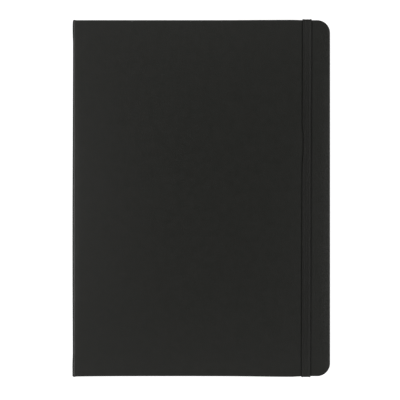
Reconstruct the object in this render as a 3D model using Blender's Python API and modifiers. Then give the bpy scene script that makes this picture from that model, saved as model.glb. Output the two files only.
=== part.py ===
"""Hardcover A4 sketchbook with a sewn block of signatures and an elastic closure.

The closed book lies on its back cover. +Z is up through its thickness, +Y points to its head and +X from
its spine to its fore edge. The origin is the centre of the back cover's outer face. Units are metres.

The spine swings a quarter turn from the back cover, and the front half swings another quarter turn from
the spine, so that the open book lies flat. Both hinge lines stand just outside the spine's two corners.
"""

import math

import bmesh
import bpy
from mathutils import Matrix

# Cover: two boards and a spine strip, wrapped in one grained skin that is turned in round their edges.
COVER_WIDTH = 0.2190  # from the spine's outer face to the fore edge
COVER_HEIGHT = 0.3032
COVER_CORNER = 0.0110  # radius of the two corners at the fore edge
BOARD_THICKNESS = 0.0020
SKIN_THICKNESS = 0.0004
SKIN_ROUND = 0.0007  # how far the skin rounds off the board's edges
SPINE_ROUND = 0.0020  # radius of the skin where it turns from a cover into the spine
SPINE_BOARD_THICKNESS = 0.0010
TURN_IN = 0.0150
GLUE = 0.0001  # gap kept between glued layers
HINGE_OFFSET = 0.0005  # hinge lines stand this far outside the spine's outer face and the covers' faces

# Block: folded gatherings of leaves, with a folded endpaper sheet at each end.
PAGE_WIDTH = 0.2100
PAGE_HEIGHT = 0.2970
PAGE_CORNER = 0.0085
FOLD_ROUND = 0.0004
SIGNATURE_COUNT = 10
SIGNATURE_THICKNESS = 0.00115
SIGNATURE_PITCH = 0.00125
LEAF_THICKNESS = 0.00015
LEAF_PITCH = 0.00025
LOOSE_LEAF_COUNT = 3
LOOSE_LEAF_STAGGER = 0.0003  # each loose leaf starts this far nearer the spine than the one below it
ENDPAPER_THICKNESS = 0.0002
ENDPAPER_GAP = 0.00015
ENDPAPER_MARGIN = 0.0045  # cover skin left showing round a pastedown
FOLD_X = 0.0046  # from the spine's outer face to the signatures' folds

# Back lining: paper, gauze and thread, in the hollow between the spine strip and the folds.
LINER_THICKNESS = 0.0002
MULL_THICKNESS = 0.0003
LINING_X = 0.0019  # from the spine's outer face to the paper liner
LINING_MARGIN = 0.0015  # the lining stops this far short of the pages' head and tail
LINING_END = 0.0002  # and this far inside the first and last signature
THREAD_RADIUS = 0.0002
THREAD_STATIONS = 6
THREAD_SPACING = 0.0440
BAND_CORD_RADIUS = 0.00085

# Elastic band, and the two slots in the back cover that its ends pass through.
ELASTIC_WIDTH = 0.0076
ELASTIC_THICKNESS = 0.0007
ELASTIC_END_THICKNESS = 0.00045  # where it is pressed flat, on the back cover and under the pastedown
ELASTIC_END_LENGTH = 0.0120
ELASTIC_GAP = 0.00015
ELASTIC_CUT = 0.0002  # between the band's runs
ELASTIC_FROM_FORE_EDGE = 0.0201  # to the band's centre line
ELASTIC_LEAN = math.radians(0.20)
ELASTIC_BEND = 0.0012
SLOT_FROM_END = 0.0160
SLOT_CLEARANCE = 0.0004

ARC_STEPS = 8
ROUND_STEPS = 3  # for the small roundings along edges and folds
TOUCHING = 1e-6  # points nearer than this are taken as one place

# Levels up from the back cover's outer face. The front cover mirrors the back one.
BOARD_LOW = SKIN_THICKNESS + GLUE
BOARD_HIGH = BOARD_LOW + BOARD_THICKNESS
TURN_IN_LOW = BOARD_HIGH + GLUE
COVER_INSIDE = TURN_IN_LOW + SKIN_THICKNESS
PASTEDOWN_LOW = COVER_INSIDE + GLUE
PASTEDOWN_HIGH = PASTEDOWN_LOW + ENDPAPER_THICKNESS
FLYLEAF_LOW = PASTEDOWN_HIGH + ENDPAPER_GAP
FLYLEAF_HIGH = FLYLEAF_LOW + ENDPAPER_THICKNESS
HALF_COUNT = SIGNATURE_COUNT // 2
REAR_LOW = FLYLEAF_HIGH + ENDPAPER_GAP
REAR_HIGH = REAR_LOW + (HALF_COUNT - 1) * SIGNATURE_PITCH + SIGNATURE_THICKNESS
LEAF_LOW = REAR_HIGH + GLUE
MIDDLE = LEAF_LOW + LOOSE_LEAF_COUNT * LEAF_PITCH / 2
BOOK_THICKNESS = 2 * MIDDLE

SPINE_X = -COVER_WIDTH / 2  # the spine's outer face
FORE_X = COVER_WIDTH / 2
BLOCK_X = SPINE_X + FOLD_X
COVER_START = SPINE_X + SPINE_ROUND + 2 * GLUE
ELASTIC_X = FORE_X - ELASTIC_FROM_FORE_EDGE
SLOT_Y = COVER_HEIGHT / 2 - SLOT_FROM_END
LINER_X = SPINE_X + LINING_X
MULL_X = LINER_X + LINER_THICKNESS + GLUE


def material(name, rgb, roughness):
    """A plain Principled material."""
    made = bpy.data.materials.new(name)
    made.use_nodes = True
    shader = made.node_tree.nodes["Principled BSDF"]
    shader.inputs["Base Color"].default_value = (*rgb, 1.0)
    shader.inputs["Roughness"].default_value = roughness
    shader.inputs["Metallic"].default_value = 0.0
    made.diffuse_color = (*rgb, 1.0)
    return made


def place(name, mesh, collection, look=None):
    """Links a mesh to a collection as a named object."""
    made = bpy.data.objects.new(name, mesh)
    collection.objects.link(made)
    if look is not None:
        made.data.materials.append(look)
    return made


def carry(things, hinge):
    """Hangs objects on the empty that stands on their hinge line."""
    for thing in things:
        thing.parent = hinge
        thing.matrix_parent_inverse = hinge.matrix_world.inverted()


def hinge_line(name, x, z, collection):
    """An empty on a hinge line that runs along Y."""
    hinge = place(name, None, collection)
    hinge.location = (x, 0.0, z)
    bpy.context.view_layer.update()
    return hinge


def box_mesh(name, x, y, z):
    """A box between the (low, high) pairs x, y and z."""
    mesh = bpy.data.meshes.new(name)
    shape = bmesh.new()
    bmesh.ops.create_cube(shape, size=1.0)
    size = [pair[1] - pair[0] for pair in (x, y, z)]
    centre = [(pair[1] + pair[0]) / 2 for pair in (x, y, z)]
    bmesh.ops.transform(
        shape,
        matrix=Matrix.Translation(centre) @ Matrix.Diagonal((*size, 1.0)),
        verts=shape.verts,
    )
    shape.to_mesh(mesh)
    shape.free()
    return mesh


def leaf_mesh(name, x, y, z, corner, fold=0.0):
    """A flat plate whose two corners at high x are rounded, with its edges at low x rounded by fold."""
    mesh = box_mesh(name, x, y, z)
    shape = bmesh.new()
    shape.from_mesh(mesh)
    upright = [
        edge
        for edge in shape.edges
        if all(abs(vert.co.x - x[1]) < TOUCHING for vert in edge.verts)
        and abs(edge.verts[0].co.z - edge.verts[1].co.z) > TOUCHING
    ]
    bmesh.ops.bevel(
        shape, geom=upright, offset=corner, segments=ARC_STEPS, profile=0.5, affect="EDGES"
    )
    if fold:
        spine_side = [
            edge
            for edge in shape.edges
            if all(abs(vert.co.x - x[0]) < TOUCHING for vert in edge.verts)
            and abs(edge.verts[0].co.y - edge.verts[1].co.y) > TOUCHING
        ]
        bmesh.ops.bevel(
            shape, geom=spine_side, offset=fold, segments=ROUND_STEPS, profile=0.5, affect="EDGES"
        )
    shape.to_mesh(mesh)
    shape.free()
    return mesh


def round_edges(thing, width):
    """Rounds every sharp edge of an object."""
    bevel = thing.modifiers.new("rounded_edges", "BEVEL")
    bevel.width = width
    bevel.segments = ROUND_STEPS
    bevel.limit_method = "ANGLE"
    bevel.angle_limit = math.radians(40)


def cutter(name, mesh, helpers):
    """A helper object that other objects are cut with."""
    made = place(name, mesh, helpers)
    made.hide_render = True
    made.display_type = "WIRE"
    return made


def cut(thing, tool):
    """Takes the tool's volume out of the thing."""
    boolean = thing.modifiers.new("cut_" + tool.name, "BOOLEAN")
    boolean.operation = "DIFFERENCE"
    boolean.solver = "EXACT"
    boolean.object = tool


def levels(low, high, front):
    """A (low, high) pair of levels of the back cover, or the same layer of the front cover."""
    return (BOOK_THICKNESS - high, BOOK_THICKNESS - low) if front else (low, high)


def slot_cutters(helpers):
    """The two slots in the back cover that the elastic's ends pass through."""
    half_width = ELASTIC_WIDTH / 2 + SLOT_CLEARANCE
    half_gap = ELASTIC_END_THICKNESS / 2 + SLOT_CLEARANCE
    tools = []
    for end, side in (("head", 1), ("tail", -1)):
        centre_x = ELASTIC_X + side * SLOT_Y * math.tan(ELASTIC_LEAN)
        mesh = box_mesh(
            "elastic_slot_" + end,
            (centre_x - half_width, centre_x + half_width),
            (side * SLOT_Y - half_gap, side * SLOT_Y + half_gap),
            (-BOARD_HIGH, 2 * BOARD_HIGH),
        )
        tools.append(cutter("elastic_slot_" + end, mesh, helpers))
    return tools


def cover_skin(side, front, look, parts, helpers):
    """Grained skin over a board's outer face and three edges, turned in round them to the inside."""
    half = COVER_HEIGHT / 2
    mesh = leaf_mesh(
        side + "_cover_skin",
        (COVER_START, FORE_X),
        (-half, half),
        levels(0.0, COVER_INSIDE, front),
        COVER_CORNER,
    )
    skin = place(side + "_cover_skin", mesh, parts, look)
    round_edges(skin, SKIN_ROUND)
    edge = SKIN_THICKNESS
    pocket = leaf_mesh(
        side + "_board_pocket",
        (COVER_START - SPINE_ROUND, FORE_X - edge),
        (-half + edge, half - edge),
        levels(SKIN_THICKNESS, TURN_IN_LOW, front),
        COVER_CORNER - edge,
    )
    cut(skin, cutter(side + "_board_pocket", pocket, helpers))
    window = box_mesh(
        side + "_turn_in_window",
        (COVER_START - SPINE_ROUND, FORE_X - TURN_IN),
        (-half + TURN_IN, half - TURN_IN),
        levels(BOARD_HIGH, COVER_INSIDE + BOARD_THICKNESS, front),
    )
    cut(skin, cutter(side + "_turn_in_window", window, helpers))
    return skin


def cover_board(side, front, look, parts):
    """The stiff grey board inside a cover."""
    inset = SKIN_THICKNESS + GLUE
    half = COVER_HEIGHT / 2 - inset
    mesh = leaf_mesh(
        side + "_cover_board",
        (COVER_START + 2 * GLUE, FORE_X - inset),
        (-half, half),
        levels(BOARD_LOW, BOARD_HIGH, front),
        COVER_CORNER - inset,
    )
    return place(side + "_cover_board", mesh, parts, look)


def endpapers(side, front, look, parts):
    """The pastedown glued inside a cover, and the flyleaf that lies on the block."""
    half = COVER_HEIGHT / 2 - ENDPAPER_MARGIN
    pastedown = leaf_mesh(
        side + "_pastedown",
        (COVER_START + 2 * GLUE, FORE_X - ENDPAPER_MARGIN),
        (-half, half),
        levels(PASTEDOWN_LOW, PASTEDOWN_HIGH, front),
        PAGE_CORNER,
    )
    flyleaf = leaf_mesh(
        side + "_flyleaf",
        (BLOCK_X, BLOCK_X + PAGE_WIDTH),
        (-PAGE_HEIGHT / 2, PAGE_HEIGHT / 2),
        levels(FLYLEAF_LOW, FLYLEAF_HIGH, front),
        PAGE_CORNER,
    )
    return (
        place(side + "_pastedown", pastedown, parts, look),
        place(side + "_flyleaf", flyleaf, parts, look),
    )


def signatures(look, parts):
    """The sewn gatherings, numbered from the front of the book to its back."""
    made = []
    for number in range(1, SIGNATURE_COUNT + 1):
        layer = min(number - 1, SIGNATURE_COUNT - number)  # counted inwards from the nearer cover
        low = REAR_LOW + layer * SIGNATURE_PITCH
        name = f"signature_{number:02d}"
        mesh = leaf_mesh(
            name,
            (BLOCK_X, BLOCK_X + PAGE_WIDTH),
            (-PAGE_HEIGHT / 2, PAGE_HEIGHT / 2),
            levels(low, low + SIGNATURE_THICKNESS, number <= HALF_COUNT),
            PAGE_CORNER,
            FOLD_ROUND,
        )
        made.append(place(name, mesh, parts, look))
    return made


def loose_leaves(look, parts):
    """Single leaves at the middle of the book, lowest first, each with its origin on its own fold line."""
    mesh = leaf_mesh(
        "loose_leaf",
        (0.0, PAGE_WIDTH),
        (-PAGE_HEIGHT / 2, PAGE_HEIGHT / 2),
        (-LEAF_THICKNESS / 2, LEAF_THICKNESS / 2),
        PAGE_CORNER,
    )
    for number in range(LOOSE_LEAF_COUNT):
        leaf = place(f"leaf_{number + 1}", mesh.copy(), parts, look)
        leaf.location = (
            BLOCK_X + (LOOSE_LEAF_COUNT - 1 - number) * LOOSE_LEAF_STAGGER,
            0.0,
            LEAF_LOW + number * LEAF_PITCH + LEAF_THICKNESS / 2,
        )


def path_strip(name, points, half_width, thickness, plane, look, parts):
    """A strip of even thickness that follows points drawn in a plane, and is as wide along its normal."""
    curve = bpy.data.curves.new(name, "CURVE")
    curve.dimensions = "2D"
    curve.fill_mode = "NONE"
    curve.extrude = half_width
    spline = curve.splines.new("POLY")
    spline.points.add(len(points) - 1)
    for point, (across, up) in zip(spline.points, points):
        point.co = (across, up, 0.0, 1.0)
    guide = bpy.data.objects.new(name + "_guide", curve)
    parts.objects.link(guide)
    guide.matrix_world = plane
    solid = guide.modifiers.new("thickness", "SOLIDIFY")
    solid.thickness = thickness
    solid.offset = 0.0
    solid.use_even_offset = True
    bpy.context.view_layer.update()
    graph = bpy.context.evaluated_depsgraph_get()
    mesh = bpy.data.meshes.new_from_object(guide.evaluated_get(graph))
    made = place(name, mesh, parts)
    made.matrix_world = guide.matrix_world
    bpy.data.objects.remove(guide)
    shape = bmesh.new()
    shape.from_mesh(mesh)
    bmesh.ops.remove_doubles(shape, verts=shape.verts, dist=TOUCHING)
    bmesh.ops.recalc_face_normals(shape, faces=shape.faces)
    shape.to_mesh(mesh)
    shape.free()
    made.data.materials.clear()
    made.data.materials.append(look)
    return made


def arc(centre, radius, start, end, steps=ARC_STEPS):
    """Points on an arc, from the start angle to the end angle in degrees."""
    found = []
    for step in range(steps + 1):
        angle = math.radians(start + (end - start) * step / steps)
        found.append((centre[0] + radius * math.cos(angle), centre[1] + radius * math.sin(angle)))
    return found


def band_plane():
    """The elastic's plane: first axis to the head, leaning a little to the fore edge, second axis up."""
    axes = Matrix(((0, 0, 1, 0), (1, 0, 0, 0), (0, 1, 0, 0), (0, 0, 0, 1)))
    return Matrix.Translation((ELASTIC_X, 0.0, 0.0)) @ Matrix.Rotation(-ELASTIC_LEAN, 4, "Z") @ axes


def end_plane():
    """Carries a drawing's first axis to +X and its second to +Z, so that its normal is -Y."""
    return Matrix(((1, 0, 0, 0), (0, 0, -1, 0), (0, 1, 0, 0), (0, 0, 0, 1)))


def elastic_front(look, parts):
    """The run across the front cover, with the bends at its head and tail."""
    reach = COVER_HEIGHT / 2 + ELASTIC_GAP + ELASTIC_THICKNESS / 2 - ELASTIC_BEND
    bend_z = BOOK_THICKNESS + ELASTIC_GAP + ELASTIC_THICKNESS / 2 - ELASTIC_BEND
    points = arc((-reach, bend_z), ELASTIC_BEND, 180, 90)
    points += arc((reach, bend_z), ELASTIC_BEND, 90, 0)
    path_strip(
        "elastic_front_run", points, ELASTIC_WIDTH / 2, ELASTIC_THICKNESS, band_plane(), look, parts
    )


def elastic_side(end, side, look, parts):
    """The short run up the book's head or tail."""
    reach = side * (COVER_HEIGHT / 2 + ELASTIC_GAP + ELASTIC_THICKNESS / 2)
    low = -ELASTIC_GAP - ELASTIC_THICKNESS / 2 + ELASTIC_BEND + ELASTIC_CUT
    high = BOOK_THICKNESS + ELASTIC_GAP + ELASTIC_THICKNESS / 2 - ELASTIC_BEND - ELASTIC_CUT
    path_strip(
        "elastic_side_" + end,
        [(reach, low), (reach, high)],
        ELASTIC_WIDTH / 2,
        ELASTIC_THICKNESS,
        band_plane(),
        look,
        parts,
    )


def elastic_end(end, side, look, parts):
    """The glued end: flat under the pastedown, down through its slot, and out to the book's edge."""
    inside = BOARD_HIGH + GLUE + ELASTIC_END_THICKNESS / 2
    outside = -ELASTIC_GAP - ELASTIC_END_THICKNESS / 2
    reach = COVER_HEIGHT / 2 + ELASTIC_GAP + ELASTIC_THICKNESS / 2 - ELASTIC_BEND
    points = [(SLOT_Y - ELASTIC_END_LENGTH, inside), (SLOT_Y, inside), (SLOT_Y, outside)]
    points += arc((reach, outside + ELASTIC_BEND), ELASTIC_BEND, -90, 0)
    path_strip(
        "elastic_end_" + end,
        [(side * y, z) for y, z in points],
        ELASTIC_WIDTH / 2,
        ELASTIC_END_THICKNESS,
        band_plane(),
        look,
        parts,
    )


def spine_skin(look, parts):
    """Skin over the spine strip, rounded over at both sides to meet the two covers."""
    middle = SKIN_THICKNESS / 2
    radius = SPINE_ROUND - middle
    near = SPINE_X + SPINE_ROUND
    points = arc((near, SPINE_ROUND), radius, 270, 180)
    points += arc((near, BOOK_THICKNESS - SPINE_ROUND), radius, 180, 90)
    return path_strip(
        "spine_skin", points, COVER_HEIGHT / 2, SKIN_THICKNESS, end_plane(), look, parts
    )


def spine_board(look, parts):
    """The stiff strip inside the spine."""
    low = SPINE_ROUND + 2 * GLUE
    inside = SPINE_X + SKIN_THICKNESS + GLUE
    half = COVER_HEIGHT / 2 - SKIN_THICKNESS - GLUE
    mesh = box_mesh(
        "spine_board",
        (inside, inside + SPINE_BOARD_THICKNESS),
        (-half, half),
        (low, BOOK_THICKNESS - low),
    )
    return place("spine_board", mesh, parts, look)


def lining(name, low, thickness, look, parts):
    """One of the strips glued along the back of the block."""
    half = PAGE_HEIGHT / 2 - LINING_MARGIN
    end = REAR_LOW + LINING_END
    mesh = box_mesh(name, (low, low + thickness), (-half, half), (end, BOOK_THICKNESS - end))
    return place(name, mesh, parts, look)


def sewing_thread(look, parts):
    """One thread that links the signatures, up and down the folds at each sewing station."""
    low = REAR_LOW + 2 * THREAD_RADIUS
    high = BOOK_THICKNESS - low
    x = MULL_X + MULL_THICKNESS + GLUE + THREAD_RADIUS
    curve = bpy.data.curves.new("sewing_thread", "CURVE")
    curve.dimensions = "3D"
    curve.bevel_depth = THREAD_RADIUS
    curve.bevel_resolution = 1
    curve.use_fill_caps = True
    spline = curve.splines.new("POLY")
    points = []
    for station in range(THREAD_STATIONS):
        y = (station - (THREAD_STATIONS - 1) / 2) * THREAD_SPACING
        ends = (low, high) if station % 2 == 0 else (high, low)
        points += [(x, y, ends[0]), (x, y, ends[1])]
    spline.points.add(len(points) - 1)
    for point, place_at in zip(spline.points, points):
        point.co = (*place_at, 1.0)
    thread = place("sewing_thread", curve, parts, look)
    weld = thread.modifiers.new("closed_caps", "WELD")
    weld.merge_threshold = TOUCHING
    return thread


def end_band(end, side, look, parts):
    """The small rolled band that finishes the block at the head or the tail of the spine."""
    shape = bmesh.new()
    length = BOOK_THICKNESS - 2 * REAR_LOW - 2 * LINING_END
    bmesh.ops.create_cone(
        shape,
        cap_ends=True,
        segments=16,
        radius1=BAND_CORD_RADIUS,
        radius2=BAND_CORD_RADIUS,
        depth=length,
    )
    mesh = bpy.data.meshes.new(end + "_band")
    shape.to_mesh(mesh)
    shape.free()
    mesh.shade_smooth()
    mesh.set_sharp_from_angle(angle=math.radians(40))
    band = place(end + "_band", mesh, parts, look)
    band.location = (BLOCK_X, side * (PAGE_HEIGHT / 2 + GLUE + BAND_CORD_RADIUS), MIDDLE)
    return band


def build():
    for old in list(bpy.data.objects):
        bpy.data.objects.remove(old)
    parts = bpy.data.collections.new("sketchbook")
    helpers = bpy.data.collections.new("cutters")
    bpy.context.scene.collection.children.link(parts)
    bpy.context.scene.collection.children.link(helpers)

    leatherette = material("leatherette", (0.022, 0.022, 0.021), 0.55)
    greyboard = material("greyboard", (0.35, 0.33, 0.29), 0.9)
    endpaper = material("endpaper", (0.80, 0.77, 0.68), 0.85)
    paper = material("paper", (0.86, 0.83, 0.74), 0.85)
    kraft = material("kraft", (0.45, 0.33, 0.20), 0.85)
    gauze = material("gauze", (0.82, 0.80, 0.74), 0.95)
    thread = material("thread", (0.88, 0.87, 0.83), 0.7)
    band_weave = material("band_weave", (0.06, 0.06, 0.06), 0.6)
    elastic = material("elastic", (0.021, 0.021, 0.020), 0.8)

    spine_hinge = hinge_line("spine_hinge", SPINE_X - HINGE_OFFSET, -HINGE_OFFSET, parts)
    front_hinge = hinge_line(
        "front_hinge", SPINE_X - HINGE_OFFSET, BOOK_THICKNESS + HINGE_OFFSET, parts
    )
    carry([front_hinge], spine_hinge)

    back_skin = cover_skin("back", False, leatherette, parts, helpers)
    back_board = cover_board("back", False, greyboard, parts)
    endpapers("back", False, endpaper, parts)
    for slot in slot_cutters(helpers):
        cut(back_skin, slot)
        cut(back_board, slot)

    front_skin = cover_skin("front", True, leatherette, parts, helpers)
    front_board = cover_board("front", True, greyboard, parts)
    front_papers = endpapers("front", True, endpaper, parts)
    block = signatures(paper, parts)
    loose_leaves(paper, parts)
    carry([front_skin, front_board, *front_papers, *block[:HALF_COUNT]], front_hinge)

    spine_parts = [
        spine_skin(leatherette, parts),
        spine_board(greyboard, parts),
        lining("spine_liner", LINER_X, LINER_THICKNESS, kraft, parts),
        lining("spine_mull", MULL_X, MULL_THICKNESS, gauze, parts),
        sewing_thread(thread, parts),
    ]
    elastic_front(elastic, parts)
    for end, side in (("head", 1), ("tail", -1)):
        spine_parts.append(end_band(end, side, band_weave, parts))
        elastic_side(end, side, elastic, parts)
        elastic_end(end, side, elastic, parts)
    carry(spine_parts, spine_hinge)


build()
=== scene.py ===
"""The sketchbook's looks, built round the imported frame.

Lengths are in metres, in the frame's own axes: +X from the spine to the fore edge, +Y to the
head and +Z up through the closed book, which lies on its back cover.
"""

import math

import bmesh
import bpy
import numpy as np
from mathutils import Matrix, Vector


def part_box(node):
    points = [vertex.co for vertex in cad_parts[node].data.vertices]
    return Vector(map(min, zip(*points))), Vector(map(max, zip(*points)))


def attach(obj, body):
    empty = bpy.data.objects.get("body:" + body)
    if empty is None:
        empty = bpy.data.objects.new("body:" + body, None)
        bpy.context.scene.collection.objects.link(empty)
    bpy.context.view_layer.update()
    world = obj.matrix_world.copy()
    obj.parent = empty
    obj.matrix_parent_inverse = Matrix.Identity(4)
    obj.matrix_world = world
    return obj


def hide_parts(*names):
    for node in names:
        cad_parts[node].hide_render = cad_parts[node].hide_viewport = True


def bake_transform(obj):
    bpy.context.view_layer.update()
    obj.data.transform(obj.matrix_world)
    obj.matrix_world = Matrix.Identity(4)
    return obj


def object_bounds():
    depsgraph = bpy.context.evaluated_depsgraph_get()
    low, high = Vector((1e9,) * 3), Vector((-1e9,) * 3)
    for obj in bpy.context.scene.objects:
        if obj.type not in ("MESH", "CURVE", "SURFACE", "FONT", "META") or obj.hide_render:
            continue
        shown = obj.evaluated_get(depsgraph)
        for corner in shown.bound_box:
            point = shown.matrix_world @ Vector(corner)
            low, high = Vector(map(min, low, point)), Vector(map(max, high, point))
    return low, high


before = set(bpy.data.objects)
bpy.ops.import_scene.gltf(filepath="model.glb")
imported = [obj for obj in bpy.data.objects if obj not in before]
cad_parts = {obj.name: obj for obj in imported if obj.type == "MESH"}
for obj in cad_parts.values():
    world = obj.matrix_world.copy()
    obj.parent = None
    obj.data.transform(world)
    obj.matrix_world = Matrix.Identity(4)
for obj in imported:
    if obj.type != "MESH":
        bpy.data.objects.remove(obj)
CAD_BOX = [list(corner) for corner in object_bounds()]
RNG = np.random.default_rng(11)

# Places that come from the frame.
BACK_LOW, BACK_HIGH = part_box("back_cover_skin")
FRONT_LOW, FRONT_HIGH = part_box("front_cover_skin")
BAND_LOW, BAND_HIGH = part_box("elastic_front_run")
THICKNESS = FRONT_HIGH.z
HALF_HEIGHT = FRONT_HIGH.y
FORE_X = FRONT_HIGH.x
COVER_X = FRONT_LOW.x
SPINE_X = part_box("spine_skin")[0].x
COVER_THICKNESS = BACK_HIGH.z - BACK_LOW.z

# Cover skin.
SKIN = 0.0004
COVER_CORNER = 0.0110
EDGE_ROUND = 0.0012
TURN_IN = 0.0150
JOINT_FALL = 0.00010  # how far a cover's outer face falls away towards the spine
JOINT_FALL_WIDTH = 0.0053
JOINT_FALL_CUTS = 5
CORNER_STEPS = 14
EDGE_STEPS = 6
EDGE_STATIONS = 40
SMALLEST_ROUND = 0.00005  # what is always left of a corner's radius, or of the flat beside it

# The head and tail edges stray outwards from straight, most of all at one place along them.
STRAY_HEAD = 0.00028
STRAY_TAIL = 0.00060
STRAY_X = 0.077
STRAY_RISE = 0.040
STRAY_FALL = 0.007
STRAY_SPINE = 0.0004  # the tail edge also strays beside the spine
STRAY_FADE = 0.020

# Spine and joints.
STRIP_OVERLAP = 0.0002  # how far one strip of the spine's skin runs on into the next
SPINE_ROUND = COVER_X - SPINE_X - STRIP_OVERLAP
SPINE_CASE = 0.0019  # skin, strip and turn-in together
JOINT_CASE = 0.0009  # skin and turn-in, where there is no board between them
SPINE_TURN_IN = 0.00025
SPINE_SWELL = 0.00050  # how far the spine's skin swells out along its middle
SWELL_MIDDLE = -0.035
SWELL_REACH = 0.190
CAP_SWELL = 0.00035  # and over the turned-in caps at the head and the tail
CAP_SOFTNESS = 0.0015
CAP_EAR = 0.00020  # the caps' folded corners stand out this far past the covers' ends
CAP_WORN = 0.0004  # the head cap is worn back a little at its very end
SPINE_STATIONS = 80
BACK_JOINT_STEPS = 24
FRONT_JOINT_STEPS = 14
FRONT_JOINT_SPLIT = 135  # the angle round the spine's corner at which the front joint's strips meet

# Paper.
SIGNATURES = 10
LOOSE_LEAVES = 3
LEAVES_PER_SIGNATURE = 8
LEAF_GAP = 0.12  # share of a leaf's pitch that stays open above it
LEAF_SHIFT = 0.00012  # how far leaves stand out of line
NESTING_STEP = 0.00012  # how much further from the spine each inner sheet is folded
PAGE_CORNER = 0.0085
CURL_LENGTH = 0.030  # over which a turning leaf bends
LEAF_CUTS = 15
PASTEDOWN_LAP = 0.0012
FLYLEAF_LAP = 0.0004
LAP_HALF_THICKNESS = 0.00006
LAP_STEPS = 16

# Head and tail bands.
THREAD_TURNS = 34
RINGS_PER_TURN = 4
THREAD_GROOVE = 0.09  # depth between two turns of thread, as a share of the bead's radius
BEAD_END = 0.8  # the bead's radius where it ends, as a share of the rest
BEAD_SIDES = 16

# Elastic.
BAND_WIDTH = 0.0076
BAND_THICKNESS = 0.0007
BAND_END_THICKNESS = 0.00045
BAND_RIBS = 6
BAND_RIB_HEIGHT = 0.00005
BAND_ACROSS = 48
EDGE_CORD_HEIGHT = 0.00025
EDGE_CORD_WIDTH = 0.00042
EDGE_ANGLE = 60  # the band's edges are rounded this far up and down, in degrees
BAND_EDGE_STEPS = 4
BAND_BEND = 0.0012
BAND_BEND_STEPS = 10
BAND_STATIONS = 90
BAND_SIDE_STEPS = 12
BAND_OVERLAP = 0.0002  # how far the side runs go on into the pieces above and below them
TUCK = 0.24  # share of the band's half-width that is rolled under where it is creased
TUCK_HEAD = 0.0580
TUCK_TAIL = 0.0330
TUCK_SHARP = 0.0008
TUCK_SOFT = 0.0030
TUCK_RISE = 0.0008
PAINTED_BAND_MIDDLE = 0.92  # painted light: the elastic's colour scale at its middle, and paler at its ends
PAINTED_BAND_END = 1.17
SLOT_FROM_END = 0.0160
SLOT_BEND = 0.0005
GLUED_LENGTH = 0.0118
GLUED_DEPTH = 0.0001
BAND_X = (BAND_LOW.x + BAND_HIGH.x) / 2
BAND_REACH = BAND_HIGH.y - BAND_THICKNESS / 2
BAND_TOP = BAND_HIGH.z - BAND_THICKNESS / 2
BAND_LEAN = (BAND_HIGH.x - BAND_LOW.x - BAND_WIDTH) / (BAND_HIGH.y - BAND_LOW.y)

# Colours, linear.
LEATHER_DARK = (0.0053, 0.0057, 0.0040)
LEATHER_LIGHT = (0.0070, 0.0073, 0.0055)
ELASTIC_DARK = (0.0054, 0.0056, 0.0044)
ELASTIC_LIGHT = (0.0093, 0.0094, 0.0077)
PAGE_LIGHT = (0.80, 0.765, 0.665)
PAGE_DARK = (0.775, 0.74, 0.64)
ENDPAPER_LIGHT = (0.77, 0.73, 0.625)
ENDPAPER_DARK = (0.745, 0.705, 0.60)
KRAFT_LIGHT = (0.47, 0.35, 0.22)
KRAFT_DARK = (0.38, 0.27, 0.16)
BOARD_LIGHT = (0.40, 0.38, 0.33)
BOARD_DARK = (0.20, 0.185, 0.16)
GAUZE_LIGHT = (0.82, 0.80, 0.73)
GAUZE_DARK = (0.55, 0.53, 0.47)
STRIPE_LIGHT = (0.09, 0.09, 0.085)
STRIPE_DARK = (0.016, 0.016, 0.015)
THREAD_LIGHT = (0.84, 0.82, 0.74)
THREAD_DARK = (0.55, 0.52, 0.44)

# Gloss and grain: noise and cells by their scale, woven and twisted things by their period.
LEATHER_GLOSS = 0.33
ELASTIC_GLOSS = 0.186
BLACK_SHEEN = 0.014
MOTTLE_SCALE = 180.0
PEBBLE_SCALE = 1500.0
PORE_SCALE = 4200.0
PICK_PERIOD = 0.0006  # of the threads across the elastic
CORD_PERIOD = 0.0007  # of the cords along it
GAUZE_PERIOD = 0.0009
STRIPE_PERIOD = 0.0013
SILK_PERIOD = 0.0003
CORD_TWIST_PERIOD = 0.0004

# Painted shade: how far and how strongly surfaces are darkened in the corners between pieces,
# standing in for contact shadow.
SHADE_PAINT_REACH = 0.0016
SHADE_PAINT_POWER = 1.9
SHADE_PAINT_SAMPLES = 8

# Floor and light. Strengths are radiance against a white of 1.
FLOOR_SIZE = 12.0
FLOOR_DROP = 0.0001  # how far the floor lies below the book
FLOOR_WHITE = 0.357
FLOOR_GLOW = 0.86
FLOOR_MIRRORED = 0.003
DOME = (  # strength by height, as the sine of the elevation
    (0.0, 0.22),
    (0.30, 0.02),
    (0.50, 0.02),
    (0.72, 0.315),
    (0.95, 0.35),
    (0.992, 0.0),
)
DOME_LEFT = 1.8  # how much stronger the dome is at the left
DOME_LEFT_FROM = -0.4  # the X of a direction from which it is fully so
LIGHT_SIZE = 0.7
LIGHTS = (  # name, place and power in watts of each soft box
    ("left_light", (-0.80, 0.00, 0.85), 7.7),
    ("right_light", (0.80, -0.05, 0.85), 4.2),
    ("head_light", (0.0, 0.95, 0.85), 2.5),
    ("tail_light", (0.0, -0.95, 0.85), 2.45),
)

# Camera: a long lens straight above the front cover.
LENS = 100.0
SENSOR = 36.0
FRAME_WIDTH = 0.34025  # how much of the cover's plane the picture spans
LOOK_AT_X = -0.00124
LOOK_AT_Y = -0.00158
CLIP_END = 20.0


# ---------------------------------------------------------------- materials


def start_material(name, roughness):
    """An empty node material with one Principled shader, its texture space and its output."""
    made = bpy.data.materials.new(name)
    made.use_nodes = True
    tree = made.node_tree
    shader = tree.nodes["Principled BSDF"]
    shader.inputs["Roughness"].default_value = roughness
    place = tree.nodes.new("ShaderNodeTexCoord").outputs["Object"]
    return made, tree, shader, place


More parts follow.
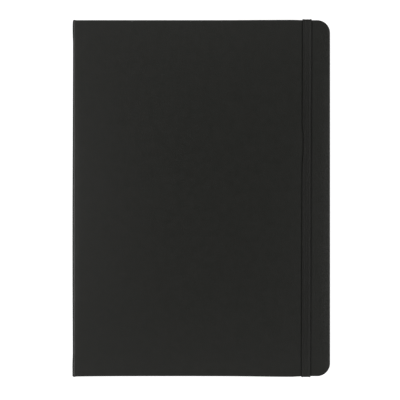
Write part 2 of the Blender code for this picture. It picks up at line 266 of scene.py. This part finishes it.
def noise(tree, place, scale, detail=4.0, roughness=0.5, stretch=(1.0, 1.0, 1.0)):
    """A noise texture's value, with its space stretched along each axis."""
    mapping = tree.nodes.new("ShaderNodeMapping")
    mapping.inputs["Scale"].default_value = stretch
    tree.links.new(place, mapping.inputs["Vector"])
    texture = tree.nodes.new("ShaderNodeTexNoise")
    texture.inputs["Scale"].default_value = scale
    texture.inputs["Detail"].default_value = detail
    texture.inputs["Roughness"].default_value = roughness
    tree.links.new(mapping.outputs["Vector"], texture.inputs["Vector"])
    return texture.outputs["Fac"]


def cells(tree, place, scale):
    """A Voronoi texture's distance to the nearest cell centre."""
    texture = tree.nodes.new("ShaderNodeTexVoronoi")
    texture.inputs["Scale"].default_value = scale
    tree.links.new(place, texture.inputs["Vector"])
    return texture.outputs["Distance"]


def wave(tree, place, period, axis):
    """A sine along one axis, from 0 to 1, with the given period in metres."""
    texture = tree.nodes.new("ShaderNodeTexWave")
    texture.wave_type = "BANDS"
    texture.bands_direction = axis
    # The texture is sin(20 * scale * distance), so one turn is 2 * pi / (20 * scale) long.
    texture.inputs["Scale"].default_value = math.pi / (10.0 * period)
    texture.inputs["Distortion"].default_value = 0.0
    tree.links.new(place, texture.inputs["Vector"])
    return texture.outputs["Fac"]


def ramp(tree, value, *stops):
    """Maps a value through a run of (position, colour) stops."""
    node = tree.nodes.new("ShaderNodeValToRGB")
    elements = node.color_ramp.elements
    while len(elements) < len(stops):
        elements.new(1.0)
    for element, (position, colour) in zip(elements, stops):
        element.position = position
        element.color = (*colour, 1.0)
    tree.links.new(value, node.inputs["Fac"])
    return node.outputs["Color"]


def spread(tree, value, low, high, from_low=0.0, from_high=1.0):
    """Maps a value's range onto another."""
    node = tree.nodes.new("ShaderNodeMapRange")
    node.inputs["From Min"].default_value = from_low
    node.inputs["From Max"].default_value = from_high
    node.inputs["To Min"].default_value = low
    node.inputs["To Max"].default_value = high
    tree.links.new(value, node.inputs["Value"])
    return node.outputs["Result"]


def combine(tree, operation, first, second):
    """A math node on two values, where the second may be a plain number."""
    node = tree.nodes.new("ShaderNodeMath")
    node.operation = operation
    tree.links.new(first, node.inputs[0])
    if isinstance(second, float):
        node.inputs[1].default_value = second
    else:
        tree.links.new(second, node.inputs[1])
    return node.outputs["Value"]


def bump(tree, shader, height, strength, distance):
    """Raises the shader's surface by a height, on top of any bump it already has."""
    node = tree.nodes.new("ShaderNodeBump")
    node.inputs["Strength"].default_value = strength
    node.inputs["Distance"].default_value = distance
    tree.links.new(height, node.inputs["Height"])
    if shader.inputs["Normal"].is_linked:
        tree.links.new(shader.inputs["Normal"].links[0].from_socket, node.inputs["Normal"])
    tree.links.new(node.outputs["Normal"], shader.inputs["Normal"])


def painted_crevice_shade(tree):
    """Painted shade: from 1 in the open to 0 deep in a corner, to darken surfaces where they meet.
    """
    occlusion = tree.nodes.new("ShaderNodeAmbientOcclusion")
    occlusion.samples = SHADE_PAINT_SAMPLES
    occlusion.inputs["Distance"].default_value = SHADE_PAINT_REACH
    return combine(tree, "POWER", occlusion.outputs["AO"], SHADE_PAINT_POWER)


def shade(tree, shader, colour, gloss, amount):
    """Sets the shader's colour and gloss, both scaled by an amount of painted light or shade."""
    node = tree.nodes.new("ShaderNodeMix")
    node.data_type = "RGBA"
    node.blend_type = "MULTIPLY"
    node.inputs["Factor"].default_value = 1.0
    # A mix node's colour sockets are its inputs 6 and 7 and its output 2.
    tree.links.new(colour, node.inputs[6])
    tree.links.new(amount, node.inputs[7])
    tree.links.new(node.outputs[2], shader.inputs["Base Color"])
    level = combine(tree, "MULTIPLY", amount, gloss)
    tree.links.new(level, shader.inputs["Specular IOR Level"])


def paint(tree, shader, value, *stops):
    """Colours the shader by a value, through a run of (position, colour) stops."""
    tree.links.new(ramp(tree, value, *stops), shader.inputs["Base Color"])


def leatherette():
    """Matt black coated cloth: fine pebbles, a slow mottle, a faint dry sheen and painted shade
    where pieces meet.
    """
    made, tree, shader, place = start_material("leatherette", roughness=0.5)
    mottle = noise(tree, place, MOTTLE_SCALE, detail=5.0)
    colour = ramp(tree, mottle, (0.3, LEATHER_DARK), (0.7, LEATHER_LIGHT))
    # Painted shade: colour and gloss are darkened where pieces meet, for the contact shadows beside
    # the elastic and in the joints.
    shade(tree, shader, colour, LEATHER_GLOSS, painted_crevice_shade(tree))
    pebbles = cells(tree, place, PEBBLE_SCALE)
    bump(tree, shader, pebbles, strength=0.6, distance=0.00010)
    pores = noise(tree, place, PORE_SCALE, detail=3.0)
    bump(tree, shader, pores, strength=0.3, distance=0.00004)
    patches = noise(tree, place, MOTTLE_SCALE, detail=6.0)
    tree.links.new(spread(tree, patches, low=0.340, high=0.380), shader.inputs["Roughness"])
    shader.inputs["Sheen Weight"].default_value = BLACK_SHEEN
    shader.inputs["Sheen Roughness"].default_value = 0.5
    return made


def elastic():
    """Braided elastic: cords along it and fine picks across, with painted light that makes it paler
    towards its ends.
    """
    made, tree, shader, place = start_material("elastic", roughness=0.5)
    picks = wave(tree, place, PICK_PERIOD, "Y")
    cords = wave(tree, place, CORD_PERIOD, "X")
    upright = wave(tree, place, PICK_PERIOD, "Z")
    weave = combine(tree, "MULTIPLY", combine(tree, "ADD", picks, upright), cords)
    fuzz = noise(tree, place, scale=3500.0)
    colour = ramp(tree, fuzz, (0.25, ELASTIC_DARK), (0.8, ELASTIC_LIGHT))
    # Painted light: colour and gloss are scaled from darker at the middle to paler at the head and
    # tail ends, by the fourth power of Y.
    parts = tree.nodes.new("ShaderNodeSeparateXYZ")
    tree.links.new(place, parts.inputs["Vector"])
    squared = combine(tree, "MULTIPLY", parts.outputs["Y"], parts.outputs["Y"])
    near_end = combine(tree, "MULTIPLY", squared, squared)
    stretch = spread(tree, near_end, PAINTED_BAND_MIDDLE, PAINTED_BAND_END, 0.0, HALF_HEIGHT**4)
    shade(tree, shader, colour, ELASTIC_GLOSS, stretch)
    bump(tree, shader, weave, strength=0.5, distance=0.00012)
    bump(tree, shader, fuzz, strength=0.3, distance=0.00004)
    shader.inputs["Sheen Weight"].default_value = BLACK_SHEEN
    return made


def paper(name, light, dark):
    """Uncoated paper: long fibres, a slight tooth and faint cloudiness."""
    made, tree, shader, place = start_material(name, roughness=0.85)
    clouds = noise(tree, place, scale=90.0, detail=6.0, roughness=0.6)
    paint(tree, shader, clouds, (0.3, dark), (0.7, light))
    tooth = noise(tree, place, scale=2400.0, detail=5.0, roughness=0.6)
    bump(tree, shader, tooth, strength=0.3, distance=0.00005)
    fibres = noise(tree, place, scale=300.0, detail=3.0, stretch=(1.0, 4.0, 1.0))
    bump(tree, shader, fibres, strength=0.1, distance=0.0001)
    shader.inputs["Specular IOR Level"].default_value = 0.25
    return made


def board():
    """Grey millboard with flecks of fibre."""
    made, tree, shader, place = start_material("greyboard", roughness=0.9)
    flecks = noise(tree, place, scale=1500.0, detail=6.0, roughness=0.7)
    paint(tree, shader, flecks, (0.35, BOARD_DARK), (0.7, BOARD_LIGHT))
    bump(tree, shader, flecks, strength=0.4, distance=0.0001)
    return made


def gauze():
    """Open plain-woven cotton."""
    made, tree, shader, place = start_material("gauze", roughness=0.9)
    warp, weft, upright = (wave(tree, place, GAUZE_PERIOD, axis) for axis in "XYZ")
    weave = combine(tree, "MULTIPLY", weft, combine(tree, "ADD", warp, upright))
    paint(tree, shader, weave, (0.1, GAUZE_DARK), (0.9, GAUZE_LIGHT))
    bump(tree, shader, weave, strength=0.8, distance=0.00015)
    shader.inputs["Sheen Weight"].default_value = 0.1
    return made


def striped_band():
    """The head band's silk: dark stripes across a roll, with the thread's own twist."""
    made, tree, shader, place = start_material("band_weave", roughness=0.55)
    stripes = wave(tree, place, STRIPE_PERIOD, "Z")
    paint(tree, shader, stripes, (0.45, STRIPE_DARK), (0.55, STRIPE_LIGHT))
    twist = wave(tree, place, SILK_PERIOD, "Z")
    bump(tree, shader, twist, strength=0.5, distance=0.0001)
    return made


def sewing_cord():
    """Waxed linen thread, with its twist."""
    made, tree, shader, place = start_material("thread", roughness=0.6)
    along = wave(tree, place, CORD_TWIST_PERIOD, "Y")
    upright = wave(tree, place, CORD_TWIST_PERIOD, "Z")
    twist = combine(tree, "ADD", along, upright)
    paint(tree, shader, twist, (0.2, THREAD_DARK), (0.9, THREAD_LIGHT))
    bump(tree, shader, twist, strength=0.4, distance=0.0001)
    return made


LEATHERETTE = leatherette()
ELASTIC = elastic()
PAGE_PAPER = paper("page_paper", PAGE_LIGHT, PAGE_DARK)
END_PAPER = paper("end_paper", ENDPAPER_LIGHT, ENDPAPER_DARK)
GREYBOARD = board()
KRAFT = paper("kraft", KRAFT_LIGHT, KRAFT_DARK)
GAUZE = gauze()
BAND_SILK = striped_band()
THREAD = sewing_cord()

CAD_LOOKS = {
    "front_cover_board": GREYBOARD,
    "back_cover_board": GREYBOARD,
    "spine_board": GREYBOARD,
    "front_pastedown": END_PAPER,
    "back_pastedown": END_PAPER,
    "front_flyleaf": END_PAPER,
    "back_flyleaf": END_PAPER,
    "spine_liner": KRAFT,
    "spine_mull": GAUZE,
    "sewing_thread": THREAD,
}


# ---------------------------------------------------------------- mesh tools


def finish_mesh(name, shape, look, smooth_angle=35.0):
    """Turns a bmesh into a smooth-shaded object in the frame's axes."""
    bmesh.ops.recalc_face_normals(shape, faces=shape.faces)
    mesh = bpy.data.meshes.new(name)
    shape.to_mesh(mesh)
    shape.free()
    mesh.shade_smooth()
    mesh.set_sharp_from_angle(angle=math.radians(smooth_angle))
    mesh.materials.append(look)
    made = bpy.data.objects.new(name, mesh)
    bpy.context.scene.collection.objects.link(made)
    return made


def loft(shape, rings):
    """Joins rings of equally many points into a closed body. Each ring is a closed loop."""
    rows = [[shape.verts.new(point) for point in ring] for ring in rings]
    for first, second in zip(rows, rows[1:]):
        count = len(first)
        for i in range(count):
            j = (i + 1) % count
            shape.faces.new((first[i], first[j], second[j], second[i]))
    shape.faces.new(rows[0][::-1])
    shape.faces.new(rows[-1])


def arc(radius, start, end, steps):
    """Offsets on an arc, from the start angle to the end angle in degrees."""
    angles = [math.radians(start + (end - start) * i / steps) for i in range(steps + 1)]
    return [(radius * math.cos(angle), radius * math.sin(angle)) for angle in angles]


def open_outline(low_x, high_x, half, corner, inset=0.0, straight_steps=1):
    """Outline from the spine side's tail end, round the fore edge's corners, to its head end."""
    radius = max(corner - inset, SMALLEST_ROUND)
    x = high_x - inset - radius
    y = half - inset - radius
    straight = [low_x + (x - low_x) * step / straight_steps for step in range(straight_steps)]
    points = [(place, -half + inset) for place in straight]
    points += [(x + dx, -y + dy) for dx, dy in arc(radius, -90, 0, CORNER_STEPS)]
    points += [(x + dx, y + dy) for dx, dy in arc(radius, 0, 90, CORNER_STEPS)]
    points += [(place, half - inset) for place in reversed(straight)]
    return points


def cut_across(shape, low_x, width, cuts):
    """Cuts a body's faces along Y at even steps from a low x, so that it can bend there."""
    for cut in range(1, cuts + 1):
        bmesh.ops.bisect_plane(
            shape,
            geom=shape.verts[:] + shape.edges[:] + shape.faces[:],
            plane_co=(low_x + width * cut / cuts, 0, 0),
            plane_no=(1, 0, 0),
        )


# ---------------------------------------------------------------- case


def case_profile(thickness, turn_in_skin):
    """A cover's edge as (inset, depth) pairs: round it, along the turn-in, and back inside."""
    round_off = min(EDGE_ROUND, thickness / 2 - SMALLEST_ROUND)
    points = [(round_off - dx, round_off - dy) for dx, dy in arc(round_off, 90, 0, EDGE_STEPS)]
    points += [
        (round_off - dx, thickness - round_off - dy)
        for dx, dy in arc(round_off, 0, -90, EDGE_STEPS)
    ]
    points.append((TURN_IN - turn_in_skin / 2, thickness))
    points.append((TURN_IN, thickness - turn_in_skin / 2))
    points.append((TURN_IN, thickness - turn_in_skin))
    points.append((SKIN, thickness - turn_in_skin))
    points.append((SKIN, SKIN))
    return points


def edge_stray(x, y):
    """How far the covers' head and tail edges stray outwards from straight."""
    reach = STRAY_TAIL if y < 0 else STRAY_HEAD
    soft = STRAY_RISE if x < STRAY_X else STRAY_FALL
    stray = reach * math.exp(-(((x - STRAY_X) / soft) ** 2))
    if y < 0:
        stray += STRAY_SPINE * math.exp(-max(0.0, x - COVER_X) / STRAY_FADE)
    return math.copysign(stray, y)


def cover_skin(name, body, node, outer_z, inward):
    """One cover's skin: outer face, three rounded edges and a turn-in, with room for the board."""
    shape = bmesh.new()
    rings = []
    for inset, depth in case_profile(COVER_THICKNESS, SKIN):
        outline = open_outline(COVER_X, FORE_X, HALF_HEIGHT, COVER_CORNER, inset, EDGE_STATIONS)
        strayed = [(x, y + edge_stray(x, y)) for x, y in outline]
        rings.append([shape.verts.new((x, y, outer_z + inward * depth)) for x, y in strayed])
    for first, second in zip(rings, rings[1:]):
        for i in range(len(first) - 1):
            shape.faces.new((first[i], first[i + 1], second[i + 1], second[i]))
    shape.faces.new(rings[0][::-1])
    shape.faces.new(rings[-1])
    tail_end = [ring[0] for ring in rings]
    head_end = [ring[-1] for ring in rings]
    shape.faces.new(tail_end + head_end[::-1])
    cut_across(shape, COVER_X, JOINT_FALL_WIDTH, JOINT_FALL_CUTS)
    for point in shape.verts:
        depth = (point.co.z - outer_z) * inward
        near_joint = max(0.0, 1.0 - (point.co.x - COVER_X) / JOINT_FALL_WIDTH)
        near_face = max(0.0, 1.0 - depth / SKIN)
        point.co.z += inward * JOINT_FALL * near_joint**2 * near_face
    skin = finish_mesh(name, shape, LEATHERETTE)
    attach(skin, body)
    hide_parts(node)


def spine_swell(y):
    """How far the spine's skin stands out at a height along the book."""
    along = min(abs(y - SWELL_MIDDLE) / SWELL_REACH, 1.0)
    middle = SPINE_SWELL * math.cos(math.pi / 2 * along) ** 2
    past_turn_in = (abs(y) - (HALF_HEIGHT - TURN_IN)) / CAP_SOFTNESS
    worn = CAP_WORN * math.exp(-max(0.0, HALF_HEIGHT - y) / CAP_SOFTNESS)
    return middle + CAP_SWELL / (1.0 + math.exp(-past_turn_in)) - worn


def spine_point(y, depth, x, z, inward_x, inward_z):
    """A point at a depth under the case, moved out by the spine's swell and its caps' ears."""
    share = max(0.0, min(1.0, (COVER_X - x) / (COVER_X - SPINE_X)))
    ear = CAP_EAR * math.sin(math.pi * math.sqrt(share)) if abs(y) > HALF_HEIGHT - TURN_IN else 0.0
    return (
        x + depth * inward_x - spine_swell(y) * share,
        y + math.copysign(ear, y) + edge_stray(x, y) * abs(y) / HALF_HEIGHT,
        z + depth * inward_z,
    )


def case_strip(name, path, thickness):
    """Skin along a path of (x, z, inward x, inward z) stations, turned in at head and tail."""
    half_profile = case_profile(thickness, SPINE_TURN_IN)
    head = [(HALF_HEIGHT - inset, depth) for inset, depth in half_profile]
    tail = [(-y, depth) for y, depth in reversed(head)]
    inner_y, outer_y = head[-1][0], head[0][0]
    stations = [math.cos(math.pi * step / SPINE_STATIONS) for step in range(1, SPINE_STATIONS)]
    inside = [(inner_y * station, SKIN) for station in stations]
    outside = [(-outer_y * station, 0.0) for station in stations]
    profile = head + inside + tail + outside
    shape = bmesh.new()
    loft(shape, [[spine_point(y, depth, *station) for y, depth in profile] for station in path])
    strip = finish_mesh(name, shape, LEATHERETTE)
    return strip


def corner_path(centre_z, start, end, steps):
    """Stations round one of the spine's long corners."""
    centre_x = SPINE_X + SPINE_ROUND
    path = []
    for dx, dz in arc(1.0, start, end, steps):
        path.append((centre_x + SPINE_ROUND * dx, centre_z + SPINE_ROUND * dz, -dx, -dz))
    return path


def spine_case():
    """The spine's skin, and the joints where it bends into the two covers."""
    low = SPINE_ROUND + JOINT_FALL
    high = THICKNESS - JOINT_FALL - SPINE_ROUND
    low_end = (SPINE_X, low + STRIP_OVERLAP, 1.0, 0.0)
    high_end = (SPINE_X, high - STRIP_OVERLAP, 1.0, 0.0)
    spine = case_strip("spine_cover", [low_end, high_end], SPINE_CASE)
    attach(spine, "spine")
    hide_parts("spine_skin")

    back_path = [(COVER_X, JOINT_FALL, 0.0, 1.0)]
    back_path += corner_path(low, 270, 180, BACK_JOINT_STEPS)
    back_path.append(low_end)
    back_joint = case_strip("back_joint_cover", back_path, JOINT_CASE)
    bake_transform(back_joint)

    # The front joint is two strips that meet halfway round, because two hinges turn there.
    spine_path = [high_end] + corner_path(high, 180, FRONT_JOINT_SPLIT, FRONT_JOINT_STEPS)
    spine_joint = case_strip("front_joint_cover_a", spine_path, JOINT_CASE)
    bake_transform(spine_joint)

    cover_path = corner_path(high, FRONT_JOINT_SPLIT, 90, FRONT_JOINT_STEPS)
    cover_path.append((COVER_X, THICKNESS - JOINT_FALL, 0.0, -1.0))
    cover_joint = case_strip("front_joint_cover_b", cover_path, JOINT_CASE)
    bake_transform(cover_joint)


# ---------------------------------------------------------------- paper


def signature(number):
    """A sewn gathering: nested folded sheets, each a hair out of line with the next."""
    node = f"signature_{number:02d}"
    low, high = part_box(node)
    pitch = (high.z - low.z) / LEAVES_PER_SIGNATURE
    half = high.y - LEAF_SHIFT
    shape = bmesh.new()
    for leaf in range(LEAVES_PER_SIGNATURE):
        shift_x, shift_y = RNG.uniform(-LEAF_SHIFT, LEAF_SHIFT, 2)
        nesting = min(leaf, LEAVES_PER_SIGNATURE - 1 - leaf)
        start_x = low.x + NESTING_STEP * nesting
        end_x = high.x - LEAF_SHIFT + shift_x
        outline = open_outline(start_x, end_x, half, PAGE_CORNER)
        bottom = low.z + pitch * leaf
        top = bottom + pitch - pitch * LEAF_GAP
        loft(shape, [[(x, y + shift_y, z) for x, y in outline] for z in (bottom, top)])
    sheets = finish_mesh(node + "_sheets", shape, PAGE_PAPER, smooth_angle=30.0)
    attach(sheets, node)
    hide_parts(node)


def loose_leaf(number):
    """A single leaf that bends up from the fold as it turns."""
    node = f"leaf_{number}"
    low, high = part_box(node)
    outline = open_outline(low.x, high.x, high.y, PAGE_CORNER)
    shape = bmesh.new()
    loft(shape, [[(x, y, z) for x, y in outline] for z in (low.z, high.z)])
    cut_across(shape, low.x, CURL_LENGTH, LEAF_CUTS)
    leaf = finish_mesh(node + "_sheet", shape, PAGE_PAPER, smooth_angle=30.0)
    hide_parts(node)
    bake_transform(leaf)


def endpaper_joint(name, pastedown, flyleaf, bodies):
    """The strip of endpaper that joins a pastedown to its flyleaf across the cover's hinge."""
    paste_low, paste_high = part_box(pastedown)
    fly_low, fly_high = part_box(flyleaf)
    start_x = paste_low.x + PASTEDOWN_LAP
    start_z = (paste_low.z + paste_high.z) / 2
    end_x = fly_low.x + FLYLEAF_LAP
    end_z = (fly_low.z + fly_high.z) / 2
    half = fly_high.y
    rings = []
    for step in range(LAP_STEPS + 1):
        share = step / LAP_STEPS
        x = start_x + (end_x - start_x) * share
        z = start_z + (end_z - start_z) * (3 * share**2 - 2 * share**3)
        bottom = z - LAP_HALF_THICKNESS
        top = z + LAP_HALF_THICKNESS
        rings.append([(x, -half, bottom), (x, half, bottom), (x, half, top), (x, -half, top)])
    shape = bmesh.new()
    loft(shape, rings)
    strip = finish_mesh(name, shape, END_PAPER)
    if len(bodies) == 1:
        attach(strip, bodies[0])
    else:
        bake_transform(strip)


# ---------------------------------------------------------------- bands


def end_band(end):
    """The rolled head or tail band: a bead wound with thread."""
    node = end + "_band"
    low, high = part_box(node)
    radius = (high.y - low.y) / 2
    centre_x = (low.x + high.x) / 2
    centre_y = (low.y + high.y) / 2
    steps = THREAD_TURNS * RINGS_PER_TURN
    rings = []
    for step in range(steps + 1):
        z = low.z + (high.z - low.z) * step / steps
        between_turns = step % RINGS_PER_TURN in (0, RINGS_PER_TURN - 1)
        bead = radius * (1.0 - THREAD_GROOVE * between_turns)
        if step in (0, steps):
            bead *= BEAD_END
        ring = arc(bead, 0, 360, BEAD_SIDES)[:-1]
        rings.append([(centre_x + dx, centre_y + dy, z) for dx, dy in ring])
    shape = bmesh.new()
    loft(shape, rings)
    band = finish_mesh(node + "_roll", shape, BAND_SILK, smooth_angle=60.0)
    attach(band, "spine")
    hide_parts(node)


# ---------------------------------------------------------------- elastic


def band_section(thickness):
    """The braid's section as (across, out) pairs: a thick cord at each edge, fine ones between."""
    radius = thickness / 2
    flat = BAND_WIDTH / 2 - radius
    points = []
    for step in range(BAND_ACROSS + 1):
        across = -flat + 2 * flat * step / BAND_ACROSS
        rib = BAND_RIB_HEIGHT * math.cos(2 * math.pi * BAND_RIBS * across / BAND_WIDTH)
        from_cord = (flat - abs(across)) / EDGE_CORD_WIDTH - 1.0
        cord = EDGE_CORD_HEIGHT * math.exp(-(from_cord**2))
        points.append((across, radius - EDGE_CORD_HEIGHT + rib + cord))
    right = arc(radius, EDGE_ANGLE, -EDGE_ANGLE, BAND_EDGE_STEPS)
    left = arc(radius, 180 + EDGE_ANGLE, 180 - EDGE_ANGLE, BAND_EDGE_STEPS)
    points += [(flat + dx, dy) for dx, dy in right]
    points += [(flat, -radius), (-flat, -radius)]
    points += [(-flat + dx, dy) for dx, dy in left]
    return points


def band_tuck(y):
    """How much of the band's spine side has rolled under, at a crease above the middle."""
    start = 1.0 / (1.0 + math.exp((y - TUCK_HEAD) / TUCK_SHARP))
    end = 1.0 / (1.0 + math.exp((TUCK_TAIL - y) / TUCK_SOFT))
    return TUCK * start * end


def band_run(name, path, thickness):
    """The braid along a path of (x, y, z, out y, out z) stations. It lies across X."""
    section = band_section(thickness)
    rings = []
    for x, y, z, out_y, out_z in path:
        tuck = band_tuck(y) if out_z == 1.0 else 0.0
        ring = []
        for across, out in section:
            squeezed = across * (1.0 - tuck) if across < 0 else across
            raised = out + tuck * TUCK_RISE * max(0.0, across / (BAND_WIDTH / 2))
            ring.append((x + squeezed, y + raised * out_y, z + raised * out_z))
        rings.append(ring)
    shape = bmesh.new()
    loft(shape, rings)
    run = finish_mesh(name, shape, ELASTIC, smooth_angle=50.0)
    return run


def band_x(y):
    """The band's centre line leans towards the fore edge at the head."""
    return BAND_X + BAND_LEAN * y


def bend(side, centre_z, start, end):
    """Stations round one of the band's bends, at the head (side 1) or the tail (side -1)."""
    centre_y = BAND_REACH - BAND_BEND
    stations = []
    for dy, dz in arc(1.0, start, end, BAND_BEND_STEPS):
        y = side * (centre_y + BAND_BEND * dy)
        stations.append((band_x(y), y, centre_z + BAND_BEND * dz, side * dy, dz))
    return stations


def band_front(end, side):
    """Half of the run across the front cover, from the book's middle to the top of the side run."""
    stations = []
    for step in range(BAND_STATIONS):
        y = side * (BAND_REACH - BAND_BEND) * step / BAND_STATIONS
        stations.append((band_x(y), y, BAND_TOP, 0.0, 1.0))
    stations += bend(side, BAND_TOP - BAND_BEND, 90, 0)
    run = band_run("elastic_front_" + end, stations, BAND_THICKNESS)
    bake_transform(run)
    return run


def band_side(end, side):
    """The run up the head or the tail, between the back cover's edge and the front cover's."""
    node = "elastic_side_" + end
    low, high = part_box(node)
    y = side * BAND_REACH
    bottom = low.z - BAND_OVERLAP
    top = high.z + BAND_OVERLAP
    stations = []
    for step in range(BAND_SIDE_STEPS + 1):
        z = bottom + (top - bottom) * step / BAND_SIDE_STEPS
        stations.append((band_x(y), y, z, float(side), 0.0))
    run = band_run("elastic_side_run_" + end, stations, BAND_THICKNESS)
    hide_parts(node)
    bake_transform(run)


def band_end(end, side):
    """From the side run round under the back cover, and through the slot to the glued end."""
    node = "elastic_end_" + end
    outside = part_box(node)[0].z + BAND_END_THICKNESS / 2
    glued = COVER_THICKNESS - SKIN + BAND_END_THICKNESS / 2 - GLUED_DEPTH
    slot_y = HALF_HEIGHT - SLOT_FROM_END
    x = band_x(side * slot_y)
    slant = math.sqrt(0.5)  # the band goes through the slot at 45 degrees
    stations = bend(side, outside + BAND_BEND, 0, -90)
    stations.append((x, side * (slot_y + SLOT_BEND), outside, 0.0, -1.0))
    stations.append((x, side * slot_y, outside + SLOT_BEND, -side * slant, -slant))
    stations.append((x, side * slot_y, glued - SLOT_BEND, -side * slant, -slant))
    stations.append((x, side * (slot_y - SLOT_BEND), glued, 0.0, -1.0))
    stations.append((x, side * (slot_y - GLUED_LENGTH), glued, 0.0, -1.0))
    run = band_run("elastic_glued_" + end, stations, BAND_END_THICKNESS)
    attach(run, "back_cover")
    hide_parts(node)


# ---------------------------------------------------------------- build


for node_name, look in CAD_LOOKS.items():
    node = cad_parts[node_name]
    node.data.materials.clear()
    node.data.materials.append(look)

cover_skin("back_cover_leatherette", "back_cover", "back_cover_skin", 0.0, 1.0)
cover_skin("front_cover_leatherette", "front_cover", "front_cover_skin", THICKNESS, -1.0)
spine_case()

for number in range(1, SIGNATURES + 1):
    signature(number)
for number in range(1, LOOSE_LEAVES + 1):
    loose_leaf(number)
endpaper_joint(
    "front_endpaper_joint", "front_pastedown", "front_flyleaf", ("front_cover", "front_flyleaf")
)
endpaper_joint("back_endpaper_joint", "back_pastedown", "back_flyleaf", ("back_cover",))

for end, side in (("head", 1), ("tail", -1)):
    end_band(end)
    front_run = band_front(end, side)
    band_side(end, side)
    band_end(end, side)
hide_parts("elastic_front_run")  # one CAD node stands under both halves


# ---------------------------------------------------------------- floor, light and camera


def floor():
    """A white table that glows, so that it stays pale round the book, and isn't mirrored in it."""
    level = CAD_BOX[0][2] - FLOOR_DROP
    bpy.ops.mesh.primitive_plane_add(size=FLOOR_SIZE, location=(0.0, 0.0, level))
    made = bpy.context.object
    made.name = "floor"
    look = bpy.data.materials.new("floor_white")
    look.use_nodes = True
    tree = look.node_tree
    tree.nodes.clear()
    plain = tree.nodes.new("ShaderNodeBsdfDiffuse")
    plain.inputs["Color"].default_value = (FLOOR_WHITE, FLOOR_WHITE, FLOOR_WHITE, 1.0)
    glow = tree.nodes.new("ShaderNodeEmission")
    glow.inputs["Strength"].default_value = FLOOR_GLOW
    bright = tree.nodes.new("ShaderNodeAddShader")
    tree.links.new(plain.outputs["BSDF"], bright.inputs[0])
    tree.links.new(glow.outputs["Emission"], bright.inputs[1])
    mirrored = tree.nodes.new("ShaderNodeEmission")
    mirrored.inputs["Strength"].default_value = FLOOR_MIRRORED
    choose = tree.nodes.new("ShaderNodeMixShader")
    path = tree.nodes.new("ShaderNodeLightPath")
    tree.links.new(path.outputs["Is Glossy Ray"], choose.inputs["Fac"])
    tree.links.new(bright.outputs["Shader"], choose.inputs[1])
    tree.links.new(mirrored.outputs["Emission"], choose.inputs[2])
    output = tree.nodes.new("ShaderNodeOutputMaterial")
    tree.links.new(choose.outputs["Shader"], output.inputs["Surface"])
    made.data.materials.append(look)


def soft_light(name, place, power):
    """A large square area light that faces the book."""
    light = bpy.data.lights.new(name, "AREA")
    light.size = LIGHT_SIZE
    light.energy = power
    made = bpy.data.objects.new(name, light)
    bpy.context.scene.collection.objects.link(made)
    made.location = place
    made.rotation_euler = (-Vector(place)).to_track_quat("-Z", "Y").to_euler()


def surroundings():
    """A white room to the camera. To the book, a soft ring of light with a dark gap overhead."""
    world = bpy.data.worlds.new("studio")
    bpy.context.scene.world = world
    world.use_nodes = True
    tree = world.node_tree
    direction = tree.nodes.new("ShaderNodeTexCoord").outputs["Generated"]
    parts = tree.nodes.new("ShaderNodeSeparateXYZ")
    tree.links.new(direction, parts.inputs["Vector"])
    stops = [(height, (strength, strength, strength)) for height, strength in DOME]
    ring = ramp(tree, parts.outputs["Z"], *stops)
    left = spread(tree, parts.outputs["X"], DOME_LEFT, 1.0, DOME_LEFT_FROM, 0.0)
    light = combine(tree, "MULTIPLY", ring, left)
    path = tree.nodes.new("ShaderNodeLightPath")
    seen = tree.nodes.new("ShaderNodeMix")
    tree.links.new(path.outputs["Is Camera Ray"], seen.inputs["Factor"])
    tree.links.new(light, seen.inputs["A"])
    seen.inputs["B"].default_value = 1.0
    tree.links.new(seen.outputs["Result"], tree.nodes["Background"].inputs["Strength"])
    tree.nodes["Background"].inputs["Color"].default_value = (1.0, 1.0, 1.0, 1.0)


def studio():
    """The surroundings, a strong soft light at the left and weaker ones on the other sides."""
    surroundings()
    for name, place, power in LIGHTS:
        soft_light(name, place, power)


def camera():
    """Straight down on the front cover, with the head at the top of the picture."""
    data = bpy.data.cameras.new("camera")
    data.lens = LENS
    data.sensor_width = SENSOR
    made = bpy.data.objects.new("camera", data)
    bpy.context.scene.collection.objects.link(made)
    made.location = (LOOK_AT_X, LOOK_AT_Y, THICKNESS + FRAME_WIDTH * LENS / SENSOR)
    data.clip_end = CLIP_END
    bpy.context.scene.camera = made


floor()
studio()
camera()
bpy.context.scene.view_settings.view_transform = "Standard"
